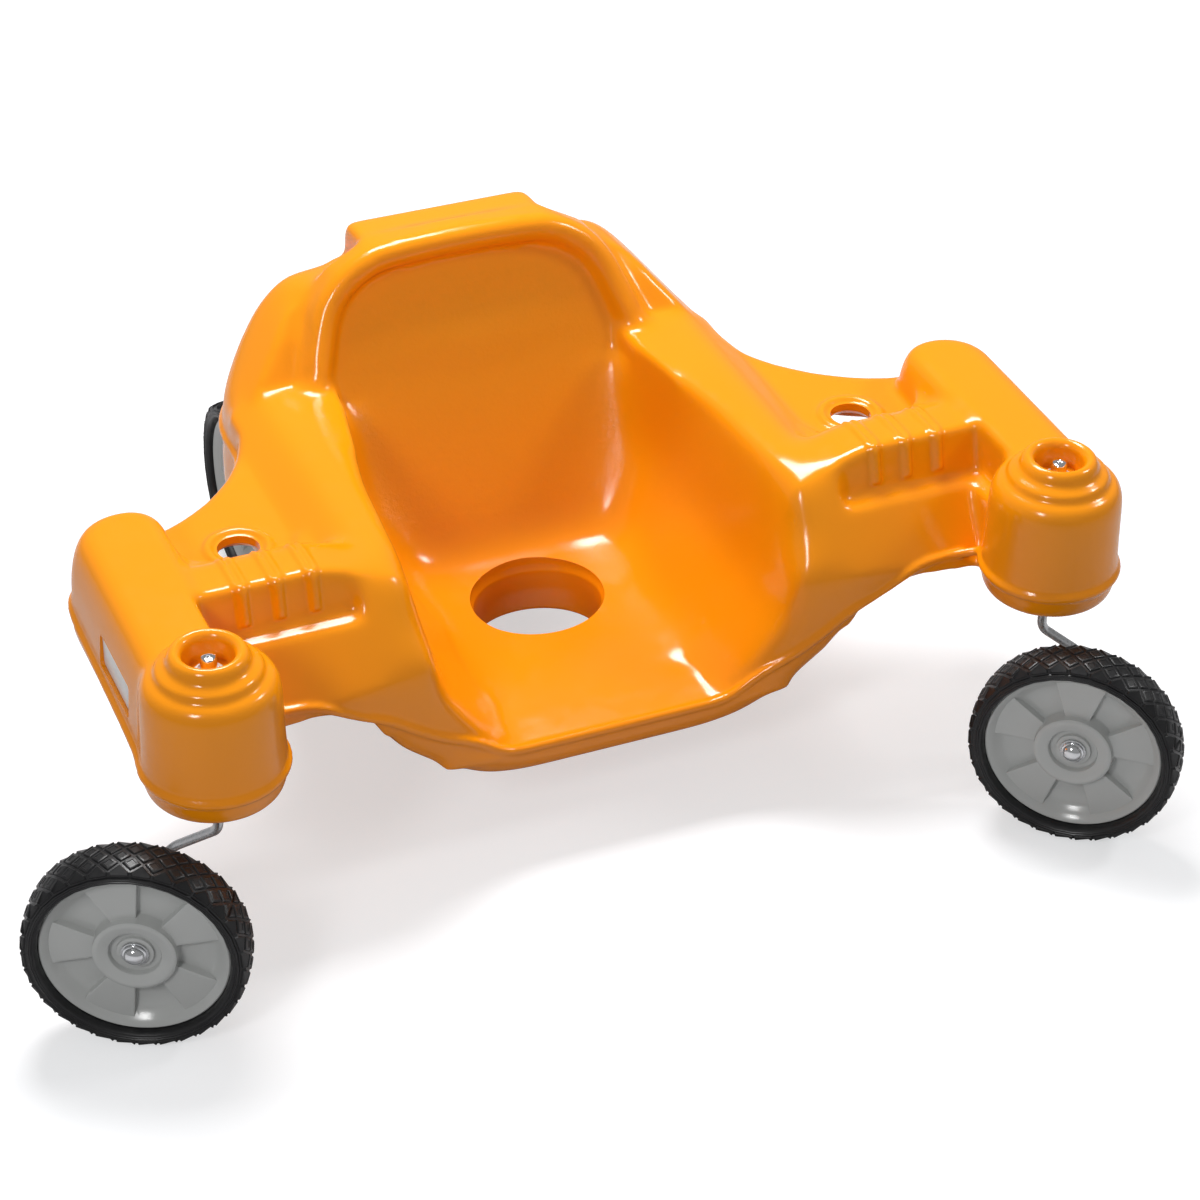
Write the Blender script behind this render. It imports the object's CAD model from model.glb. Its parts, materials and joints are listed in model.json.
import json
import math

import bmesh
import bpy
from mathutils import Matrix, Vector
from mathutils.bvhtree import BVHTree

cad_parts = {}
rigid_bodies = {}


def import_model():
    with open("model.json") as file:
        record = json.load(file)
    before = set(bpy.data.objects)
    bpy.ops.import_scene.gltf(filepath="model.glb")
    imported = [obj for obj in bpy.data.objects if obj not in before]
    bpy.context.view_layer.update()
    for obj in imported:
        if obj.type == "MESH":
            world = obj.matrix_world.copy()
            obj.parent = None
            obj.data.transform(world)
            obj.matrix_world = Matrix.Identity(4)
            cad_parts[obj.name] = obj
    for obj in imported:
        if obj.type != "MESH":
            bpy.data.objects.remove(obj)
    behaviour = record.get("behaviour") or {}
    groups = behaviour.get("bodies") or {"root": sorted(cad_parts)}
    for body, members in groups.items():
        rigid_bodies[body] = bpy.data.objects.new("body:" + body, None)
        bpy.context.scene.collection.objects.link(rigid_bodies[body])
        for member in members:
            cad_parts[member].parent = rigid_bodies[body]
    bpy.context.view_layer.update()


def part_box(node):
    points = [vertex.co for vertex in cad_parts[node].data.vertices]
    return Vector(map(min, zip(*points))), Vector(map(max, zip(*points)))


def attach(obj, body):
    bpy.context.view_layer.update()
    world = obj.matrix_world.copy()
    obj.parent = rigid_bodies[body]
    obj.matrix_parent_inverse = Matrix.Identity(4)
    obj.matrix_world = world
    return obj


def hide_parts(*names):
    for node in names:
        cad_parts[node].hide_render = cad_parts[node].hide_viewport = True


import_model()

# Shapes are laid out in millimetres from the floor point midway between the two front kingpins.
LEFT_PIN, RIGHT_PIN = (sum(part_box(side + "_top_bush"), Vector()) / 2 for side in ("left", "right"))
MIDDLE = (LEFT_PIN + RIGHT_PIN) / 2
TO_FRAME = Matrix.Translation((MIDDLE.x, MIDDLE.y, 0)) @ Matrix.Scale(0.001, 4)
KINGPIN_X = (RIGHT_PIN.x - LEFT_PIN.x) * 500

# Degrees, as the photograph shows them: how each caster is swung, and how far its wheel is rolled.
SWIVEL = {"left": -26.7, "right": -41.4}
PHASE = {"left": 32, "right": 18}
REAR_PHASE = 10

# Body: heights, the tail, the hollow rear edge of a wing, and the holes
DECK_Z = 252
ARM_Z = 275
WING_FOOT_Z = 187
TUB_FOOT_Z = 62
TAIL_Y = 492
TAIL_X = 224
TAIL_CORNER_R = 98
EDGE_CENTRE = (390, 416)
EDGE_R = 176
EDGE_OUT_X = 345
DECK_HOLE = (275, 201)
DECK_HOLE_R = 17.5
DRAIN_Y = 235
DRAIN_HALF = (56, 47)
RIB_X = (246, 275, 304)
POCKET_X = -410
LABEL_X = (-411, -410.2)

# Wheels, casters and rear axle
WHEEL_R = 89
ROD_R = 4
WASHER_BORE_R = 4.3
RUNNING_BORE_R = 4.4
ROD_END = 16.4
LEG_SIDE = 52
LEG_BACK = 30
WHEEL_FORWARD = 83
KNEE_Z = 139
REAR_AXLE = (507, WHEEL_R)
REAR_WHEEL_X = 170
TREAD_HALF = 17
LUGS = 32
LUG_HEIGHT = 1.3
SHOULDER_RUN = 5
SHOULDER_DROP = 4.2
SHOULDER_BULGE = 1
CROWN = 1.6
TREAD_BASE = WHEEL_R - LUG_HEIGHT
SPOKES = 5
SPOKE_FACE = 8
HUB_STEPS = 120

scene = bpy.context.scene
workshop = bpy.data.collections.new("moulds")
scene.collection.children.link(workshop)


# Shader expressions

class Wire:
    """A shader socket that takes part in arithmetic: each operator adds one Math node."""

    def __init__(self, tree, socket):
        self.tree, self.socket = tree, socket

    def _math(self, operation, *values):
        return self.tree.node("ShaderNodeMath", {"operation": operation}, dict(enumerate(values)))

    def __add__(self, other):
        return self._math("ADD", self, other)

    def __sub__(self, other):
        return self._math("SUBTRACT", self, other)

    def __rsub__(self, other):
        return self._math("SUBTRACT", other, self)

    def __mul__(self, other):
        return self._math("MULTIPLY", self, other)

    def __abs__(self):
        return self._math("ABSOLUTE", self)

    def clamped(self):
        return self.tree.node("ShaderNodeClamp", {}, {"Value": self})

    __radd__ = __add__
    __rmul__ = __mul__


class Finish:
    """One material, built node by node."""

    def __init__(self, name):
        self.material = bpy.data.materials.new(name)
        self.material.use_nodes = True
        self.shader = self.material.node_tree.nodes["Principled BSDF"]

    def node(self, kind, settings, inputs, output=0):
        made = self.material.node_tree.nodes.new(kind)
        for key, value in settings.items():
            if key == "stops":
                ramp = made.color_ramp.elements
                for _ in value[2:]:
                    ramp.new(0.5)
                for stop, (position, tone) in zip(ramp, value):
                    stop.position = position
                    stop.color = (tone, tone, tone, 1)
            else:
                setattr(made, key, value)
        for key, value in inputs.items():
            self.feed(made.inputs[key], value)
        return Wire(self, made.outputs[output])

    def feed(self, socket, value):
        if isinstance(value, Wire):
            self.material.node_tree.links.new(value.socket, socket)
        else:
            socket.default_value = value

    def set(self, **values):
        for key, value in values.items():
            self.feed(self.shader.inputs[key.replace("_", " ")], value)

    def place(self):
        return self.node("ShaderNodeTexCoord", {}, {}, "Object")

    def noise(self, scale, detail=2.0, roughness=0.5):
        return self.node("ShaderNodeTexNoise", {}, {
            "Vector": self.place(), "Scale": scale, "Detail": detail, "Roughness": roughness})

    def ramp(self, value, *stops):
        return self.node("ShaderNodeValToRGB", {"stops": stops}, {"Fac": value})

    def tint(self, amount, first, second):
        return self.node("ShaderNodeMix", {"data_type": "RGBA"}, {
            0: amount, 6: (*first, 1), 7: (*second, 1)}, 2)

    def bump(self, height, strength, distance, under=None):
        inputs = {"Height": height, "Strength": strength, "Distance": distance}
        if under:
            inputs["Normal"] = under
        return self.node("ShaderNodeBump", {}, inputs)

    def axes(self):
        split = self.node("ShaderNodeSeparateXYZ", {}, {"Vector": self.place()})
        outputs = split.socket.node.outputs
        return [Wire(self, outputs[i]) for i in range(3)]


def moulded_orange():
    """Glossy polyethylene, deeper in tone lower down, with a grained panel in the seat's back."""
    finish = Finish("moulded_orange")
    x, y, z = finish.axes()
    cloud = finish.noise(4.5, 2.0)
    fine = finish.noise(900, 1.0)
    shade_top = 0.30
    low_down = ((shade_top - z) * 4).clamped()
    finish.set(
        Base_Color=finish.tint(
            (cloud * 0.3 + low_down * 0.6).clamped(), (0.92, 0.31, 0.003), (0.82, 0.225, 0.002)),
        Roughness=finish.ramp(finish.noise(60, 3.0), (0.35, 0.13), (0.65, 0.19)),
        IOR=1.48,
    )
    panel_half, panel_foot, panel_top = 0.125, 0.125, 0.362
    panel_front, panel_back = MIDDLE.y + 0.30, MIDDLE.y + 0.416
    sides = ((panel_half - abs(x - MIDDLE.x)) * 60).clamped()
    depth = ((y - panel_front) * 60).clamped() * ((panel_back - y) * 90).clamped()
    height = ((z - panel_foot) * 40).clamped() * ((panel_top - z) * 60).clamped()
    ripple = finish.bump(finish.noise(38, 2.0), 0.25, 0.0006)
    peel = finish.bump(fine, 0.10, 0.0002, ripple)
    grain = finish.noise(300, 4.0, 0.7) * (sides * depth * height)
    finish.set(Normal=finish.bump(grain, 0.55, 0.0012, peel))
    return finish.material


def hub_grey():
    finish = Finish("hub_grey")
    finish.set(
        Base_Color=finish.tint(finish.noise(12, 1.0), (0.45, 0.46, 0.45), (0.48, 0.49, 0.48)),
        Roughness=finish.ramp(finish.noise(60, 2.0), (0.35, 0.15), (0.7, 0.21)),
        Normal=finish.bump(finish.noise(700, 2.0), 0.12, 0.0002),
    )
    return finish.material


def tyre_black():
    finish = Finish("tyre_black")
    dust = finish.ramp(finish.noise(55, 5.0, 0.7), (0.45, 0.0), (0.75, 1.0))
    finish.set(
        Base_Color=finish.tint(dust, (0.006, 0.006, 0.007), (0.013, 0.013, 0.013)),
        Roughness=finish.ramp(finish.noise(90, 4.0), (0.3, 0.30), (0.7, 0.44)),
        Normal=finish.bump(finish.noise(520, 3.0), 0.25, 0.0003),
    )
    return finish.material


def zinc_steel():
    finish = Finish("zinc_steel")
    finish.set(
        Base_Color=finish.tint(finish.noise(220, 4.0, 0.6), (0.48, 0.49, 0.50), (0.62, 0.63, 0.64)),
        Metallic=1.0,
        Roughness=finish.ramp(finish.noise(300, 3.0), (0.3, 0.22), (0.7, 0.36)),
        Normal=finish.bump(finish.noise(500, 2.0), 0.08, 0.0002),
    )
    return finish.material


def chrome_cap():
    finish = Finish("chrome_cap")
    finish.set(
        Base_Color=(0.82, 0.83, 0.85, 1), Metallic=1.0,
        Roughness=finish.ramp(finish.noise(160, 3.0), (0.3, 0.06), (0.7, 0.12)),
        Normal=finish.bump(finish.noise(240, 2.0), 0.05, 0.0002),
    )
    return finish.material


def nylon_bush():
    finish = Finish("nylon_bush")
    finish.set(
        Base_Color=finish.tint(finish.noise(80, 2.0), (0.55, 0.53, 0.47), (0.64, 0.62, 0.56)),
        Roughness=0.5, Normal=finish.bump(finish.noise(600, 2.0), 0.1, 0.0002),
    )
    return finish.material


def label_white():
    finish = Finish("label_white")
    finish.set(
        Base_Color=finish.tint(finish.noise(60, 2.0), (0.80, 0.80, 0.79), (0.86, 0.86, 0.86)),
        Roughness=0.35, Normal=finish.bump(finish.noise(400, 2.0), 0.06, 0.0002),
    )
    return finish.material


ORANGE, GREY, BLACK = moulded_orange(), hub_grey(), tyre_black()
STEEL, CHROME, NYLON, WHITE = zinc_steel(), chrome_cap(), nylon_bush(), label_white()
LOOKS = {"body": ORANGE, "hub": GREY, "tyre": BLACK, "steel": STEEL, "chrome": CHROME, "bush": NYLON,
         "label": WHITE}


# Shaping

def outward(work):
    """Turns a closed skin's faces outward."""
    bmesh.ops.recalc_face_normals(work, faces=work.faces)
    if work.calc_volume(signed=True) < 0:
        bmesh.ops.reverse_faces(work, faces=work.faces)


def piece(work, node, body, slot, place=Matrix(), crease=32):
    """A finished piece, from a bmesh in millimetres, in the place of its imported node."""
    outward(work)
    mesh = bpy.data.meshes.new(node + "_fine")
    work.to_mesh(mesh)
    work.free()
    mesh.transform(TO_FRAME @ place)
    mesh.materials.append(LOOKS[slot])
    mesh.shade_smooth()
    mesh.set_sharp_from_angle(angle=math.radians(crease))
    made = bpy.data.objects.new(node + "_fine", mesh)
    scene.collection.objects.link(made)
    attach(made, body)
    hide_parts(node)
    return made


def blank(work):
    """A mould object in millimetres, for modifiers to work on."""
    outward(work)
    mesh = bpy.data.meshes.new("blank")
    work.to_mesh(mesh)
    work.free()
    made = bpy.data.objects.new("blank", mesh)
    workshop.objects.link(made)
    return made


def taken(made):
    """A mould's shape with its modifiers, as a bmesh; the mould is thrown away."""
    bpy.context.view_layer.update()
    mesh = made.evaluated_get(bpy.context.evaluated_depsgraph_get()).to_mesh()
    work = bmesh.new()
    work.from_mesh(mesh)
    bpy.data.objects.remove(made)
    return work


def cut(made, tool, operation="DIFFERENCE"):
    step = made.modifiers.new(operation, "BOOLEAN")
    step.operation, step.object, step.solver = operation, tool, "EXACT"


def pushed(outline, low, high, axis="Z"):
    """A flat outline pushed along an axis. Axis Z takes (x, y), Y takes (x, z), X takes (y, z)."""
    lay = {
        "Z": lambda a, b, t: (a, b, t),
        "Y": lambda a, b, t: (a, t, b),
        "X": lambda a, b, t: (t, a, b),
    }[axis]
    work = bmesh.new()
    face = work.faces.new([work.verts.new(lay(a, b, low)) for a, b in outline])
    far = bmesh.ops.extrude_face_region(work, geom=[face])["geom"]
    bmesh.ops.translate(
        work, verts=[v for v in far if isinstance(v, bmesh.types.BMVert)], vec=lay(0, 0, high - low))
    return work


def edge_ring(work, points):
    corners = [work.verts.new(p) for p in points]
    return [work.edges.new(pair) for pair in zip(corners, corners[1:] + corners[:1])]


def bridged(rings):
    """A closed skin through rings of points."""
    work = bmesh.new()
    loops = [edge_ring(work, ring) for ring in rings]
    for near, far in zip(loops, loops[1:]):
        bmesh.ops.bridge_loops(work, edges=near + far)
    for end in (loops[0], loops[-1]):
        bmesh.ops.contextual_create(work, geom=end)
    return work


def spun(profile, steps=96):
    """A closed profile of (radius, height) spun about Z."""
    work = bmesh.new()
    edges = edge_ring(work, [(r, 0, z) for r, z in profile])
    corners = list({v for e in edges for v in e.verts})
    bmesh.ops.spin(
        work, geom=corners + edges, cent=(0, 0, 0), axis=(0, 0, 1), angle=2 * math.pi, steps=steps,
        use_merge=True)
    bmesh.ops.remove_doubles(work, verts=work.verts, dist=1e-4)
    bmesh.ops.recalc_face_normals(work, faces=work.faces)
    return work


def softened(work, width, segments=3, angle=30, reach=1000):
    """Rounds every edge sharper than an angle, out to a radius."""
    sharp = [e for e in work.edges if e.calc_face_angle(0) > math.radians(angle)
             and all(v.co.xy.length < reach for v in e.verts)]
    bmesh.ops.bevel(work, geom=sharp, offset=width, offset_type="OFFSET", affect="EDGES", segments=segments,
                    profile=0.5, material=-1, clamp_overlap=True)
    return work


def swept(path, radius, sides=16):
    """A round bar with flat ends along a path of points."""
    work = bmesh.new()
    loops = []
    up = Vector((0.1, 0.2, 1)).normalized()
    for i, here in enumerate(path):
        along = (path[min(i + 1, len(path) - 1)] - path[max(i - 1, 0)]).normalized()
        side = along.cross(up).normalized()
        frame_here = Matrix((side, side.cross(along), along)).transposed().to_4x4()
        frame_here.translation = here
        made = bmesh.ops.create_circle(work, segments=sides, radius=radius, matrix=frame_here)
        loops.append(list({e for v in made["verts"] for e in v.link_edges}))
    for near, far in zip(loops, loops[1:]):
        bmesh.ops.bridge_loops(work, edges=near + far)
    for end in (loops[0], loops[-1]):
        bmesh.ops.contextual_create(work, geom=end)
    return work


def moved(work, matrix):
    bmesh.ops.transform(work, matrix=matrix, verts=work.verts)
    return work


def merged(*works):
    """Several shapes in one bmesh."""
    whole = bmesh.new()
    for work in works:
        bmesh.ops.recalc_face_normals(work, faces=work.faces)
        mesh = bpy.data.meshes.new("part_of")
        work.to_mesh(mesh)
        work.free()
        whole.from_mesh(mesh)
        bpy.data.meshes.remove(mesh)
    return whole


def arc(centre, radius, start, end, steps):
    angles = [math.radians(start + (end - start) * i / steps) for i in range(steps + 1)]
    return [(centre[0] + radius * math.cos(a), centre[1] + radius * math.sin(a)) for a in angles]


def smooth_path(points, step=6.0):
    """Evenly spaced points on a smooth curve through the given ones."""
    fine = []
    ends = [2 * points[0] - points[1]] + list(points) + [2 * points[-1] - points[-2]]
    for a, b, c, d in zip(ends, ends[1:], ends[2:], ends[3:]):
        count = max(2, round((c - b).length / step))
        for i in range(count):
            t = i / count
            fine.append(0.5 * (2 * b + (c - a) * t + (2 * a - 5 * b + 4 * c - d) * t * t
                               + (3 * b - a - 3 * c + d) * t ** 3))
    return fine + [points[-1]]


def both_sides(half):
    return half + [(-a, b) for a, b in reversed(half) if a > 1e-6]


# Body: the solids that its right half is made from

def deck_edge(inset=0, steps=16):
    """The wing's hollow rear edge in plan."""
    start = -90 - math.degrees(math.asin((EDGE_CENTRE[0] - EDGE_OUT_X) / EDGE_R))
    end = -180 + math.degrees(math.acos((EDGE_CENTRE[0] - TAIL_X) / EDGE_R))
    return arc(EDGE_CENTRE, EDGE_R + inset, start, end, steps)


def rear_corner():
    """The tail's round corner in plan."""
    return arc((TAIL_X - TAIL_CORNER_R, TAIL_Y - TAIL_CORNER_R), TAIL_CORNER_R, 0, 90, 14)


def back_face(z):
    """How far back the seat's back lies at a height."""
    if z < 268:
        return 297 + 79 * max((z - 108) / 160, -0.2)
    return 376 + 46 * math.sin(min((z - 268) / 112, 1) * math.pi / 2)


def core():
    """The tub and wings, as the front view, the plan and the side view have them in common."""
    under = [(0, TUB_FOOT_Z), (92, TUB_FOOT_Z), (121, 72), (184, 118), (198, 134), (216, 165), (239, 182),
             (268, WING_FOOT_Z), (KINGPIN_X, WING_FOOT_Z)]
    over = [(KINGPIN_X, DECK_Z), (231, DECK_Z), (194, ARM_Z), (0, ARM_Z)]
    body = blank(pushed(both_sides(under + over), 0, 522, "Y"))
    cut(body, blank(shoulders()), "UNION")
    front = [(0, 52), (95, 52), (272, 42), (KINGPIN_X, 30)]
    plan = front + [(KINGPIN_X, deck_edge()[0][1])] + deck_edge() + rear_corner() + [(0, TAIL_Y)]
    cut(body, blank(pushed(both_sides(plan), 0, 450)), "INTERSECT")
    chin = [(66, TUB_FOOT_Z), (51, 78), (49, 101)]
    side = [(28, 101), (28, 400), (512, 400), (512, 112), (480, 68), (452, TUB_FOOT_Z)] + chin
    cut(body, blank(pushed(side, -500, 500, "X")), "INTERSECT")
    cut(body, blank(grip_bar()), "UNION")
    before_fascia = [(40, 192), (99, 276), (99, 400), (-99, 400), (-99, 192)]
    cut(body, blank(pushed(before_fascia, -30, KINGPIN_X, "X")))
    for solid in (side_block(), *deck_fillets()):
        cut(body, blank(solid), "UNION")
    finger_recess = [(0, 246), (92, 246), (101, 283), (105, 299), (0, 299)]
    cut(body, blank(pushed(finger_recess, 212, 342, "X")))
    return body


def shoulders():
    """The slopes beside and behind the backrest."""
    outline = both_sides([(0, 210), (234, 210), (234, 240), (204, 270), (168, 312), (141, 340), (0, 340)])
    made = blank(pushed(outline, 380, 522, "Y"))
    slope = [(372, 205), (376, 268), (404, 306), (440, 342), (480, 336), (499, 250), (499, 205)]
    cut(made, blank(pushed(slope, -300, 300, "X")), "INTERSECT")
    return taken(made)


def backrest():
    """What stands behind the rolled rim."""
    half = [(0, 200), (184, 200), (170, 262), (153, 300), (139, 330), (117, 357), (82, 376), (0, 381)]
    made = blank(pushed(both_sides(half), 300, 436, "Y"))
    front = [(back_face(z) - 5, z) for z in (195, 232, 268, 295, 318, 350, 366, 390)]
    cut(made, blank(pushed(front + [(500, 340), (500, 195)], -300, 300, "X")), "INTERSECT")
    return taken(made)


def rolled_rim():
    """The fat roll round the back panel."""
    limb = [(160, 236), (154, 257), (139, 297), (127, 326)]
    crest = [(109, 348), (79, 364), (40, 368), (0, 369), (-40, 368)]
    path = [Vector((x, back_face(z) - 5, z)) for x, z in limb + crest]
    return swept(smooth_path(path, 8), 13)


def head_block():
    """The plate behind the rim's crest."""
    return softened(pushed(
        [(420, 300), (484, 300), (482, 362), (475, 371), (430, 376)], -85, 85, "X"), 6)


def grip_bar():
    """The bar behind the finger recess. Its inner end runs down into the armrest."""
    def section(x, top, back):
        return [(x, y, z) for y, z in (
            (80, 215), (80, top), (142, top - 2), (160, top - 12), (169, back), (169, 215))]

    return bridged([
        section(180, 274, 256), section(214, 281, 252), section(238, 287, 248), section(350, 287, 248)])


def side_block():
    """The wing's outer bar, whose outer side leans in and whose top edge is broad and round."""
    def level(inset, z):
        outer_r, inner_r = 40 - inset / 2, 30 - inset / 2
        back = 241 - inset / 2
        right = (415 - inset - outer_r, back - outer_r)
        left = (326 + inset * 0.8 + inner_r, back - inner_r)
        outline = [(right[0] + outer_r, 0)] + arc(right, outer_r, 0, 90, 10)
        outline += arc(left, inner_r, 90, 180, 8) + [(left[0] - inner_r, 0)]
        return [(x, y, z) for x, y in outline]

    side = [(5, 190), (0, 206), (1, 232), (2.2, 255), (5, 270)]
    top_edge = [(8, 279), (12, 286), (18, 290), (26, 291.5)]
    return bridged([level(inset, z) for inset, z in side + top_edge])


def deck_fillets():
    """Hollow rounds in the deck's two inner corners, beside the grip bar."""
    outer = [(345, 155), (345, 197)] + arc((300, 197), 30, 0, -90, 8) + [(300, 155)]
    inner = [(212, 155), (212, 196)] + arc((258, 196), 28, 180, 270, 8) + [(258, 155)]
    return pushed(outer, 215, 272), pushed(inner, 215, 258)


def on_kingpin(profile):
    """A spun form standing over the right kingpin."""
    return moved(spun(profile, 64), Matrix.Translation((KINGPIN_X, 0, 0)))


def on_rear_axle(profile, steps, x):
    """A spun form whose axis is the rear axle's."""
    spot = Matrix.Translation((x, *REAR_AXLE))
    return moved(spun(profile, steps), spot @ Matrix.Rotation(math.pi / 2, 4, "Y"))


def pod():
    """The round housing of a caster."""
    return on_kingpin([
        (0, 183), (50, 183), (54, 187), (57, 203), (55.5, 232), (54.5, 276), (52, 284), (46, 291),
        (0, 291)])


def seat_hollow():
    """The bucket: a flared mouth, upright sides and the sunk panel in the back."""
    def scoop(floor, foot, knee, knee_z, hand, hand_z):
        return [(foot, floor), (foot + 14, floor + 9), (knee, knee_z), (hand, hand_z),
                (hand + 12, hand_z + 25), (hand + 12, 400), (hand * 0.6, 420)]

    def across(half, reach):
        line = [(x, reach(z), z) for x, z in [(0, half[0][1])] + half + [(0, half[-1][1])]]
        return line + [(-x, y, z) for x, y, z in reversed(line) if x > 1e-6]

    def panel(sweep, rise):
        low, top = [(66, 114), (84, 126), (112, 185)], [(128, 278), (121, 318), (102, 350), (64, 366)]
        return [(x + sweep, z) for x, z in low] + [(x + rise, z + rise * 0.8) for x, z in top]

    return bridged([
        across(scoop(92, 102, 158, 168, 168, 250), lambda z: 10),
        across(scoop(97, 94, 152, 168, 166, 254), lambda z: 54),
        across(scoop(102, 88, 147, 168, 165, 258), lambda z: 92),
        across(scoop(108, 80, 138, 178, 156, 268), lambda z: 230),
        across(panel(24, 6), lambda z: back_face(z) - 40),
        across(panel(14, 5), lambda z: back_face(z) - 16),
        across(panel(5, 3), lambda z: back_face(z) - 4),
        across(panel(-6, 0), back_face),
    ])


def deck_pocket():
    """The pocket in the deck's underside, behind the grip."""
    inner_x, outer_x, front_y = 240, 322, 176
    rear = [(min(x, outer_x), y) for x, y in deck_edge(13) if x > inner_x]
    outline = [(outer_x, front_y)] + rear + [(inner_x, rear[-1][1]), (inner_x, front_y)]
    return pushed(outline, 150, 240)


def hollows():
    """What is scooped out of the tub and the right wing, and the room for the right rear wheel."""
    under_deck = pushed([(196, 180), (236, 212), (360, 212), (360, 180)], 236, 322, "X")
    wheel_room = on_rear_axle([(0, -32), (100, -32), (100, 120), (0, 120)], 64, REAR_WHEEL_X)
    return seat_hollow(), deck_pocket(), under_deck, wheel_room


def tunnel(radius, reach):
    """The tube that holds the rear axle."""
    return on_rear_axle([(0, -reach), (radius, -reach), (radius, reach), (0, reach)], 32, 0)


def blended(work, voxel, passes):
    """Fuses overlapping solids into one skin and rounds it."""
    made = blank(work)
    melt = made.modifiers.new("melt", "REMESH")
    melt.mode, melt.voxel_size = "VOXEL", voxel
    ease = made.modifiers.new("ease", "SMOOTH")
    ease.factor, ease.iterations = 0.5, passes
    return taken(made)


def parting_line():
    """The bead's run on the right half, from the lip round the pod and block to the tail."""
    front = [(-40, 52, 100), (40, 52, 100), (91, 52, 101), (128, 51, 119), (165, 49, 139), (208, 47, 169),
             (228, 46, 177), (253, 44, 193), (272, 42, 201)]
    round_pod = [(x, y, 207) for x, y in arc((KINGPIN_X, 0), 57, 140, 350, 16)]
    side = [(416, 20, 209), (415, 60, 214), (415, 130, 218), (414, 190, 222)]
    corner = [(x, y, 227) for x, y in arc((375, 201), 40, 20, 90, 4)]
    rear = [(x, y, 232) for x, y in [(356, 241)] + deck_edge(0, 10)[:-1]]
    tail = [(x, y, 227) for x, y in rear_corner()[1:] + [(60, TAIL_Y), (-40, TAIL_Y)]]
    return [Vector(p) for p in front + round_pod + side + corner + rear + tail]


def beads(skin):
    """The parting bead and the finger ribs, laid on the skin."""
    tree = BVHTree.FromBMesh(skin)
    line = [tree.find_nearest(p)[0] for p in smooth_path(parting_line())]
    for _ in range(3):
        line = [line[0]] + [(a + 2 * b + c) / 4 for a, b, c in zip(line, line[1:], line[2:])] + [line[-1]]
    made = [swept(line, 4, 12)]
    strokes = ((0, 197, 128, 4.4), (-3.6, 140, 30, 2.5), (3.6, 140, 30, 2.5))
    for x in RIB_X:
        for shift, first, last, radius in strokes:
            start = Vector((x + shift, 122, 263))
            turns = [math.radians(first + (last - first) * i / 24) for i in range(25)]
            path = [tree.ray_cast(start, Vector((0, math.cos(t), math.sin(t))))[0] for t in turns]
            made.append(swept(path, radius, 12))
    return made


def boss():
    """The stepped ring on a pod."""
    return on_kingpin([
        (19.5, 275), (42, 275), (42, 293), (40.5, 296.5), (36, 299), (32.5, 301), (32, 305), (29.5, 309.5),
        (26, 311.5), (22.5, 310), (20, 306)])


def well():
    """The well in the stepped ring, down to the screw's washer."""
    return on_kingpin([(0, 289), (19.5, 289), (19.5, 306), (23, 330), (0, 330)])


def deck_hole():
    """The round hole through the deck, flared below."""
    profile = [(0, 222), (38, 222), (DECK_HOLE_R, 245), (DECK_HOLE_R, 262), (0, 262)]
    return moved(spun(profile, 64), Matrix.Translation((*DECK_HOLE, 0)))


def deck_ring():
    """The low round edge of the deck hole."""
    return moved(spun(arc((25, 250.5), 5, 0, 330, 11), 64), Matrix.Translation((*DECK_HOLE, 0)))


def eased(skin):
    """Rounds the moulding further, zone by zone, where it is softest."""
    def bucket(x, y, z):
        return x < 176 and 58 < y < back_face(z) + 8 and 103 < z < 256

    def mouth(x, y, z):
        return 90 < x < 205 and 20 < y < 130 and z > 98

    def lip(x, y, z):
        return x < 105 and y < 70 and z > 85

    def armrest(x, y, z):
        return 146 < x < 214 and 100 < y < 380 and z > 236

    def hull(x, y, z):
        return z < 95 and y < 440

    def shoulder(x, y, z):
        return z > 200 and y > back_face(z) + 16 and (x > 95 or z < 328)

    def everywhere(x, y, z):
        return True

    zones = (
        (bucket, 260), (mouth, 130), (lip, 16), (armrest, 50), (hull, 200), (shoulder, 200), (everywhere, 6))
    for inside, passes in zones:
        zone = [v for v in skin.verts if inside(abs(v.co.x), v.co.y, v.co.z)]
        for _ in range(passes):
            bmesh.ops.smooth_vert(
                skin, verts=zone, factor=0.5, use_axis_x=True, use_axis_y=True, use_axis_z=True)
    return skin


def body_shell():
    """The whole moulding."""
    form = core()
    for solid in (backrest(), head_block(), pod()):
        cut(form, blank(solid), "UNION")
    for hollow in hollows():
        cut(form, blank(hollow))
    cut(form, blank(tunnel(23, 139)), "UNION")
    spare = 55
    right_half = pushed([(-spare, -100), (500, -100), (500, 600), (-spare, 600)], 0, 500)
    cut(form, blank(right_half), "INTERSECT")
    coarse, fine = 2.6, 1.7
    skin = eased(blended(merged(taken(form), rolled_rim()), coarse, 22))
    skin = merged(skin, boss(), deck_ring(), *beads(skin))
    skin = blank(blended(skin, fine, 5))
    cut(skin, blank(well()))
    cut(skin, blank(deck_hole()))
    lean = skin.modifiers.new("lean", "DECIMATE")
    lean.ratio = 0.2
    twin = skin.modifiers.new("twin", "MIRROR")
    twin.use_bisect_axis[0] = True
    twin.merge_threshold = 0.05
    cut(skin, blank(drain_hole()))
    cut(skin, blank(label_pocket()))
    return piece(taken(skin), "body_shell", "body", "body", crease=40)


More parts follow.
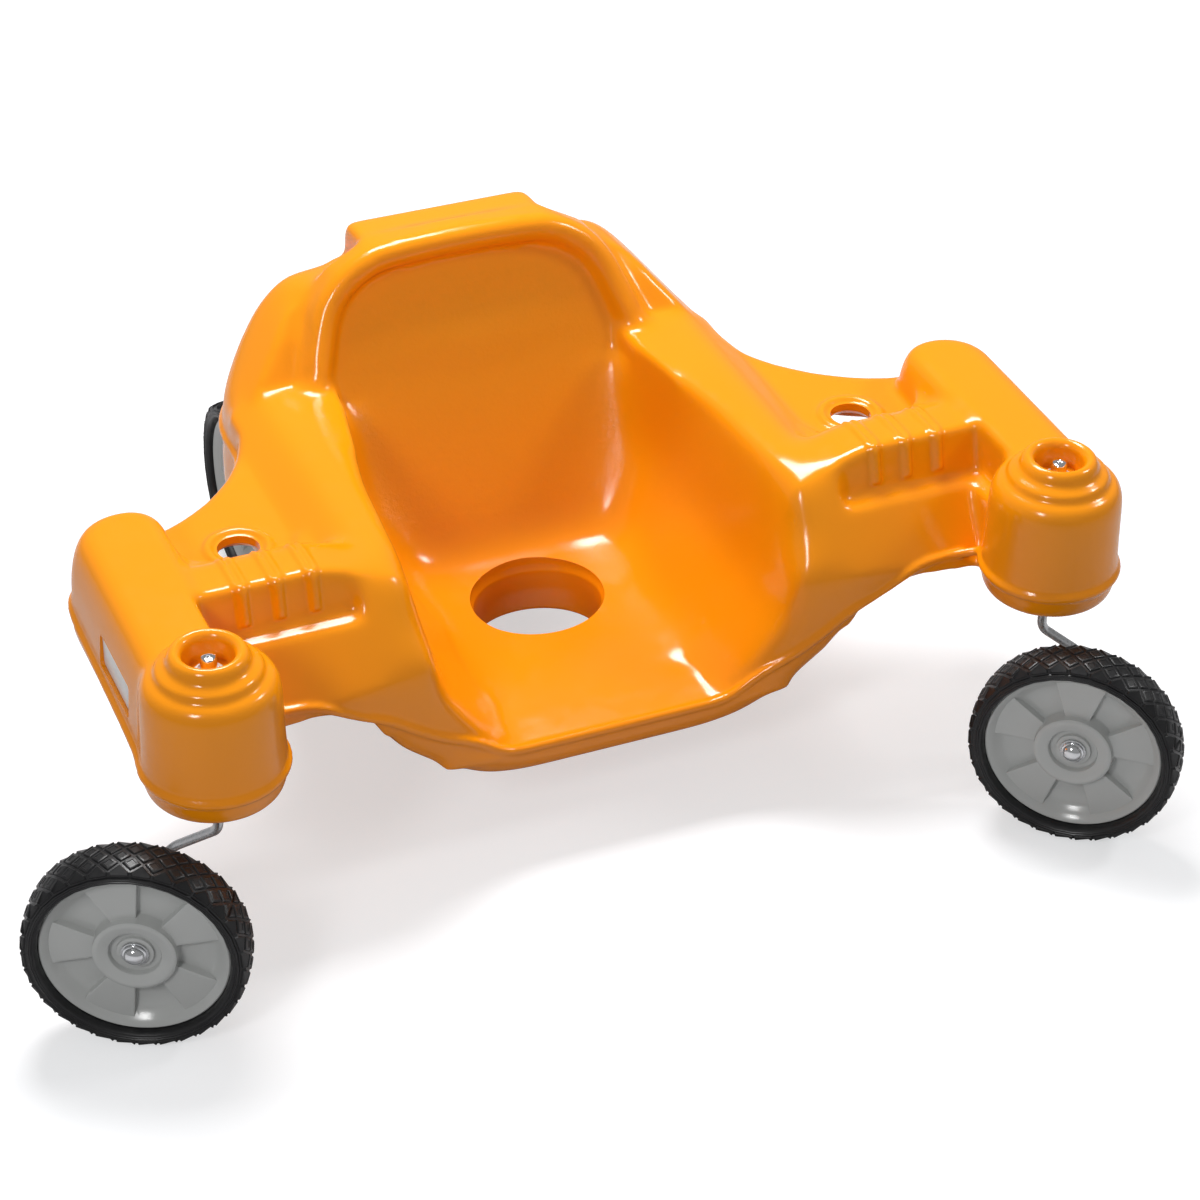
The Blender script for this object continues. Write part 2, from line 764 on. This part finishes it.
def drain_hole():
    """The oval hole through the seat's floor, flared at both ends."""
    def level(spread, z):
        angles = [2 * math.pi * i / 72 for i in range(72)]
        half_x, half_y = DRAIN_HALF[0] + spread, DRAIN_HALF[1] + spread
        return [(half_x * math.cos(a), DRAIN_Y + half_y * math.sin(a), z) for a in angles]

    levels = [(6, 50), (4, 60), (1, 63), (0, 66), (0, 102), (0.8, 105), (2.8, 107.5), (3.6, 112), (4, 130)]
    return bridged([level(spread, z) for spread, z in levels])


def rounded_label(grow, near_x, far_x):
    """The label's rounded rectangle on the left block's side."""
    r = 4
    front, back, low, high = 48 - grow, 124 + grow, 227 - grow, 255 + grow
    corners = (((back - r, high - r), 0), ((front + r, high - r), 90), ((front + r, low + r), 180),
               ((back - r, low + r), 270))
    outline = [p for centre, start in corners for p in arc(centre, r, start, start + 90, 6)]
    return pushed(outline, near_x, far_x, "X")


def label_pocket():
    """The recess that the label sits in."""
    return rounded_label(0.6, -440, POCKET_X)


# Wheels: outer side up, then laid on their axles

def lug_strip():
    """A flat strip of tread: three rows of diamond lugs, and a row of blocks on each shoulder."""
    work = bmesh.new()
    bmesh.ops.create_grid(work, x_segments=LUGS, y_segments=2, size=0.5)
    bmesh.ops.scale(work, vec=(360, 2 * TREAD_HALF, 1), verts=work.verts)
    bmesh.ops.translate(work, vec=(180, 0, 0), verts=work.verts)
    squares = list(work.edges)
    bmesh.ops.poke(work, faces=work.faces)
    outer = [e for e in squares if all(abs(v.co.y) > TREAD_HALF - 1 for v in e.verts)]
    low = bmesh.ops.extrude_edge_only(work, edges=outer)["geom"]
    for corner in (v for v in low if isinstance(v, bmesh.types.BMVert)):
        corner.co.y += math.copysign(SHOULDER_RUN, corner.co.y)
    bmesh.ops.dissolve_edges(work, edges=[e for e in squares if not e.is_boundary], use_verts=False)
    lugs = list(work.faces)
    mean = 2 * math.pi * WHEEL_R / 360
    bmesh.ops.scale(work, vec=(mean, 1, 1), verts=work.verts)
    crown = [f for f in lugs if abs(f.calc_center_median().y) < TREAD_HALF * 0.6]
    groove, flank, round_off = (0.85, 0), (0.6, LUG_HEIGHT * 0.8), (0.5, LUG_HEIGHT * 0.2)
    border, step_down = (1.3, 0), (0.35, -0.5)
    for faces, steps in ((lugs, (groove, flank, round_off)), (crown, (border, step_down))):
        for width, rise in steps:
            bmesh.ops.inset_individual(work, faces=faces, thickness=width, depth=rise, use_even_offset=True)
    bmesh.ops.scale(work, vec=(1 / mean, 1, 1), verts=work.verts)
    return work


def rolled_up(work):
    """Bends the strip round the wheel, and its edges over the shoulders."""
    for corner in work.verts:
        along, across, lift = corner.co
        past = max(abs(across) - TREAD_HALF, 0) / SHOULDER_RUN * math.pi / 2
        flat = min(abs(across), TREAD_HALF)
        lift *= 1 - past / math.pi
        lean = Vector((SHOULDER_DROP * math.sin(past), SHOULDER_BULGE * math.cos(past))).normalized()
        axial = flat + SHOULDER_BULGE * math.sin(past) + lift * lean.x
        drop = CROWN * (flat / TREAD_HALF) ** 2 + SHOULDER_DROP * (1 - math.cos(past))
        radius = TREAD_BASE - drop + lift * lean.y
        turn = math.radians(along)
        corner.co = (radius * math.cos(turn), radius * math.sin(turn), math.copysign(axial, across))
    bmesh.ops.remove_doubles(work, verts=work.verts, dist=0.01)
    return work


def tyre():
    """The tread, ribbed side walls, and the foot that sits in the hub's groove."""
    work = rolled_up(lug_strip())
    open_edges = [e for e in work.edges if e.is_boundary]
    ribs = [(81.4, 19.3), (80.6, 19.5), (80.1, 20.1), (79.5, 19.6), (78.6, 19.5), (78.1, 20), (77.5, 19.4)]
    foot = [(76.2, 19), (75, 17.6), (74.4, 15), (74.3, 11), (70.3, 9)]
    rims = []
    for side in (1, -1):
        edges = [e for e in open_edges if e.verts[0].co.z * side > 0]
        for radius, axial in ribs + foot:
            grown = bmesh.ops.extrude_edge_only(work, edges=edges)["geom"]
            edges = [e for e in grown if isinstance(e, bmesh.types.BMEdge)]
            for corner in (v for v in grown if isinstance(v, bmesh.types.BMVert)):
                flat = corner.co.xy.normalized() * radius
                corner.co = (flat.x, flat.y, axial * side)
        rims += edges
    bmesh.ops.bridge_loops(work, edges=rims)
    return work


def hub():
    """A dished wheel whose five flared spokes stand up out of the dish."""
    back = [(RUNNING_BORE_R, -20), (15, -20), (15, -3), (62, -3), (74, -11.3)]
    groove = [(70, -9.3), (70, 9.3)]
    rim = [(74, 11.3), (73.6, 12.6), (72.6, 13.2), (71.4, 12.8), (66.6, SPOKE_FACE)]
    dish = [(62.5, 4), (59, 1.9), (50, 1.2), (35.5, 1), (34, 1.8), (33.2, SPOKE_FACE)]
    middle = [(32.5, 13), (31, 14), (28.5, 14), (25, 12.5), (22.5, 12), (20.8, 11.2), (20, 9.5)]
    seat = [(20, 6.5), (14.5, 6.5), (14.5, 9.5), (RUNNING_BORE_R, 9.5)]
    work = spun(back + groove + rim + dish + middle + seat, HUB_STEPS)
    half_spoke = 18
    for i in range(SPOKES):
        spoke = []
        for face in work.faces:
            spot = face.calc_center_median()
            off = (math.degrees(math.atan2(spot.y, spot.x)) - 360 / SPOKES * i + 180) % 360 - 180
            on_dish = dish[-1][0] < spot.xy.length < rim[-1][0] and 0.5 < spot.z < SPOKE_FACE
            if abs(off) < half_spoke and on_dish:
                spoke.append(face)
        edges = list(dict.fromkeys(e for f in spoke for e in f.edges))
        raised = bmesh.ops.extrude_face_region(work, geom=spoke + edges)["geom"]
        for corner in (v for v in raised if isinstance(v, bmesh.types.BMVert)):
            corner.co.z = SPOKE_FACE
    bmesh.ops.remove_doubles(work, verts=work.verts, dist=0.01)
    outward(work)
    return softened(work, 0.6, 2, 50, 63)


def push_cap():
    """A domed cap on a flange, over the rod's end."""
    dome = [(8.1 * math.cos(a), 13.4 + 5.3 * math.sin(a)) for a in (math.radians(9 * i) for i in range(11))]
    return spun([(4.3, 11.7), (9.3, 11.7), (9.5, 12), (9.5, 12.6), (9.2, 13), (8.6, 13.2)] + dome[:-1]
                + [(0, 18.7), (0, 16.7), (4.3, 16.7)], 64)


def washer(inner, outer, low, high):
    return softened(spun([(inner, low), (outer, low), (outer, high), (inner, high)], 64), 0.3, 2)


def wheel(name, spot, carrier, phase):
    """A wheel turned to its phase, and what holds it on its axle end."""
    turned = spot @ Matrix.Rotation(math.radians(phase), 4, "Z")
    piece(tyre(), name + "_tyre", name + "_wheel", "tyre", turned, 28)
    piece(hub(), name + "_hub", name + "_wheel", "hub", turned, 35)
    piece(push_cap(), name + "_cap", carrier, "chrome", spot, 40)
    piece(washer(WASHER_BORE_R, 11, 9.8, 11.4), name + "_outer_washer", carrier, "steel", spot)
    piece(washer(WASHER_BORE_R, 11, -21.9, -20.3), name + "_inner_washer", carrier, "steel", spot)


# Casters and the rear axle

def bent(points, radius, steps=10):
    """A rod's path with each inner corner rounded."""
    path = [points[0]]
    for before, corner, after in zip(points, points[1:], points[2:]):
        near, far = (before - corner).normalized(), (after - corner).normalized()
        half = near.angle(far) / 2
        centre = corner + (near + far).normalized() * (radius / math.sin(half))
        start = (corner + near * (radius / math.tan(half)) - centre).normalized()
        end = (corner + far * (radius / math.tan(half)) - centre).normalized()
        path += [centre + start.slerp(end, i / steps) * radius for i in range(steps + 1)]
    return path + [points[-1]]


def at_wheel(side):
    """From a wheel's own frame to its caster's, before the swivel."""
    spot = Matrix.Translation((side * LEG_SIDE, -WHEEL_FORWARD, WHEEL_R))
    return spot @ Matrix.Rotation(math.pi / 2, 4, "X")


def collar(low, high):
    """A ring fixed on the rod."""
    return softened(spun([(3, low), (8, low), (8, high), (3, high)], 48), 0.6, 2)


def caster_leg(side):
    """One bent rod: kingpin, slanting shank and axle, with a collar under the pod and one at the wheel."""
    x = side * LEG_SIDE
    end = (x, -WHEEL_FORWARD - ROD_END, WHEEL_R)
    corners = [(0, 0, 301), (0, 0, KNEE_Z), (x, LEG_BACK, WHEEL_R), end]
    leg = blank(softened(swept(bent([Vector(p) for p in corners], 15), ROD_R, 28), 0.5, 2, 60))
    cut(leg, blank(collar(173.5, 178.5)), "UNION")
    cut(leg, blank(moved(collar(-25.2, -22.2), at_wheel(side))), "UNION")
    return taken(leg)


def kingpin_screw():
    """A pan-headed screw with a cross recess."""
    dome = [(6.5, 301.5), (6.2, 303), (5.3, 304.1), (3.6, 304.7), (0, 305)]
    socket = [(0, 301.3), (WASHER_BORE_R, 301.3)]
    head = blank(spun([(WASHER_BORE_R, 293.5), (6.5, 293.5)] + dome + socket, 48))
    for turn in (0, math.pi / 2):
        slot = bmesh.new()
        bar = Matrix.Rotation(turn, 4, "Z") @ Matrix.Diagonal((7.4, 1.5, 3.2, 1))
        bmesh.ops.create_cube(slot, size=1, matrix=Matrix.Translation((0, 0, 304.2)) @ bar)
        bmesh.ops.scale(slot, verts=[v for v in slot.verts if v.co.z < 304], vec=(0.5, 0.5, 1))
        cut(head, blank(slot))
    return taken(head)


def bush(end, low, high):
    """A flanged nylon sleeve, from its far end to its flange."""
    inner, sleeve, flange = RUNNING_BORE_R, 7.5, 12
    profile = [(inner, end), (sleeve, end), (sleeve, low), (flange, low), (flange, high), (inner, high)]
    return softened(spun(profile, 64), 0.3, 2)


def caster(name, side):
    pivot = Matrix.Translation((side * KINGPIN_X, 0, 0))
    steered = pivot @ Matrix.Rotation(math.radians(SWIVEL[name]), 4, "Z")
    body = name + "_caster"
    piece(caster_leg(side), body + "_leg", body, "steel", steered)
    piece(kingpin_screw(), name + "_kingpin_screw", body, "chrome", steered, 30)
    piece(washer(WASHER_BORE_R, 9, 291.6, 293.2), name + "_kingpin_washer", body, "steel", steered)
    piece(bush(265, 289.3, 291.3), name + "_top_bush", "body", "bush", pivot)
    piece(bush(207, 182.7, 180.7), name + "_foot_bush", "body", "bush", pivot)
    piece(washer(RUNNING_BORE_R, 12, 178.8, 180.4), name + "_thrust_washer", "body", "steel", pivot)
    wheel("front_" + name, steered @ at_wheel(side), body, PHASE[name])


def rear_wheels():
    """The axle rod through the tail, its bushes and both rear wheels."""
    end = REAR_WHEEL_X + ROD_END
    rod = softened(swept([Vector((x, *REAR_AXLE)) for x in (-end, 0, end)], ROD_R, 28), 0.5, 2, 60)
    piece(rod, "rear_axle", "body", "steel")
    for name, side in (("left", -1), ("right", 1)):
        turn = Matrix.Rotation(side * math.pi / 2, 4, "Y")
        centre = Matrix.Translation((0, *REAR_AXLE)) @ turn
        piece(bush(121.5, 145.8, 147.5), name + "_axle_bush", "body", "bush", centre)
        spot = Matrix.Translation((side * REAR_WHEEL_X, *REAR_AXLE)) @ turn
        wheel("rear_" + name, spot, "body", REAR_PHASE)


# Camera and light

def studio():
    """A pale floor, soft lamps from above, and the camera where the photographer stood."""
    work = bmesh.new()
    bmesh.ops.create_grid(work, x_segments=1, y_segments=1, size=9)
    mesh = bpy.data.meshes.new("floor")
    work.to_mesh(mesh)
    work.free()
    floor = bpy.data.objects.new("floor", mesh)
    scene.collection.objects.link(floor)
    paint = Finish("studio_floor")
    seen = paint.node("ShaderNodeLightPath", {}, {}, "Is Camera Ray")
    paint.set(
        Base_Color=paint.tint(paint.noise(3, 2.0), (0.47, 0.47, 0.48), (0.49, 0.49, 0.50)), Roughness=0.7,
        Emission_Color=paint.tint(seen, (0, 0, 0), (0.56, 0.565, 0.57)), Emission_Strength=1.0)
    mesh.materials.append(paint.material)

    world = bpy.data.worlds.new("studio")
    world.use_nodes = True
    sky = world.node_tree.nodes["Background"]
    sky.inputs["Color"].default_value = (1, 1, 1, 1)
    sky.inputs["Strength"].default_value = 0.27
    scene.world = world
    aim = Vector((0.05, 0.0, 0.2))
    for name, spot, size, power in (
        ("overhead", (0.1, 0.9, 2.4), (1.1, 0.8), 66), ("front_left", (-1.9, -1.8, 2.1), (0.5, 0.7), 25),
        ("right", (2.2, -0.6, 1.9), (0.5, 0.5), 16),
    ):
        lamp = bpy.data.lights.new(name, "AREA")
        lamp.shape, lamp.size, lamp.size_y, lamp.energy = "RECTANGLE", *size, power
        made = bpy.data.objects.new(name, lamp)
        made.location = spot
        made.rotation_euler = (aim - Vector(spot)).to_track_quat("-Z", "Y").to_euler()
        scene.collection.objects.link(made)

    lens = bpy.data.cameras.new("photo_view")
    lens.sensor_width, lens.lens = 36, 104.15
    lens.clip_end = 50
    camera = bpy.data.objects.new("photo_view", lens)
    right, up = Vector((0.92079, -0.38972, 0.01608)), Vector((0.21344, 0.53795, 0.81551))
    turn = Matrix((right, up, right.cross(up))).transposed().to_4x4()
    camera.matrix_world = Matrix.Translation((MIDDLE.x - 0.9295, MIDDLE.y - 2.0278, 1.8424)) @ turn
    scene.collection.objects.link(camera)
    scene.camera = camera
    scene.view_settings.view_transform = "Standard"


body_shell()
piece(softened(rounded_label(0, *LABEL_X), 0.25, 2, 60), "label_plate", "body", "label")
caster("left", -1)
caster("right", 1)
rear_wheels()
studio()
for spare_mould in list(workshop.objects):
    bpy.data.objects.remove(spare_mould)
bpy.data.collections.remove(workshop)
